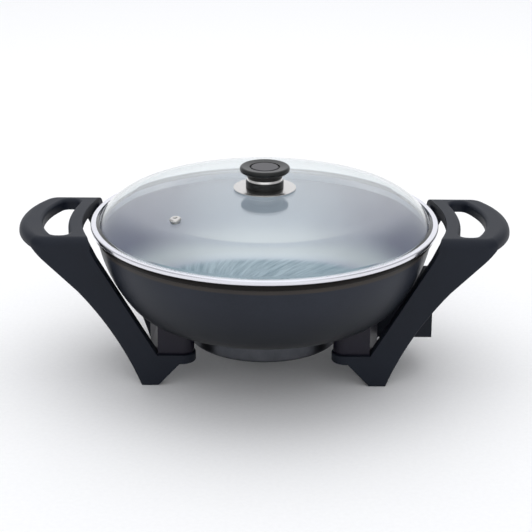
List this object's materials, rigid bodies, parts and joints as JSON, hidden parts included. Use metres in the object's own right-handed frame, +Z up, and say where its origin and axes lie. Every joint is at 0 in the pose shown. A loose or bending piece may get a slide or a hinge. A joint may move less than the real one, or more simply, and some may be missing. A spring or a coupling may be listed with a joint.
{
  "type": "electric skillet",
  "caption": "Deep round electric skillet: cast pan, domed glass lid with knob and steam vent, looped side handles moulded with splayed legs, and a probe socket hood.",
  "frame": {"origin": "on the floor, under the pan's axis", "axes": "+Z up along the pan's axis, +X towards the socket hood through the two handles, -Y the front"},
  "size_m": [0.48, 0.34, 0.2039],
  "materials": {
    "pan_coating": "satin non-stick coating on cast aluminium",
    "element_sheath": "satin",
    "plated_steel": "satin zinc plate",
    "cover_steel": "gloss",
    "phenolic": "satin moulded phenolic",
    "phenolic_gloss": "gloss moulded phenolic",
    "nickel_plate": "polished",
    "steatite": "matte",
    "lid_glass": "polished",
    "stainless": "polished",
    "silicone": "matte",
    "knob_black": "satin",
    "chrome_trim": "polished",
    "knob_inlay": "satin",
    "insert_brass": "satin"
  },
  "bodies": {
    "base": {"base_cover": "cover_steel", "clamp_screws": "plated_steel", "cover_screw": "plated_steel", "cover_washer": "plated_steel", "handle_left": "phenolic", "handle_right": "phenolic", "heater_clamp": "plated_steel", "heating_element": "element_sheath", "hood_screws": "plated_steel", "leg_screws": "plated_steel", "leg_washers": "plated_steel", "pan_body": "pan_coating", "socket_hood": "phenolic", "spacer_front_left": "phenolic_gloss", "spacer_front_right": "phenolic_gloss", "spacer_rear_left": "phenolic_gloss", "spacer_rear_right": "phenolic_gloss", "terminal_bead_front": "steatite", "terminal_bead_rear": "steatite", "terminal_pin_front": "nickel_plate", "terminal_pin_rear": "nickel_plate"},
    "lid": {"knob_collar": "knob_black", "knob_gasket": "silicone", "knob_grip": "knob_black", "knob_insert": "insert_brass", "knob_inset": "knob_inlay", "knob_ring": "chrome_trim", "knob_screw": "plated_steel", "knob_skirt": "stainless", "knob_under_gasket": "silicone", "knob_washer": "plated_steel", "lid_band": "stainless", "lid_glass": "lid_glass", "vent_eyelet": "stainless"}
  },
  "joints": [
    {"name": "lid_lift", "type": "slide", "parent": "base", "child": "lid", "axis": [0, 0, 1], "range_m": [0, 0.12]}
  ]
}
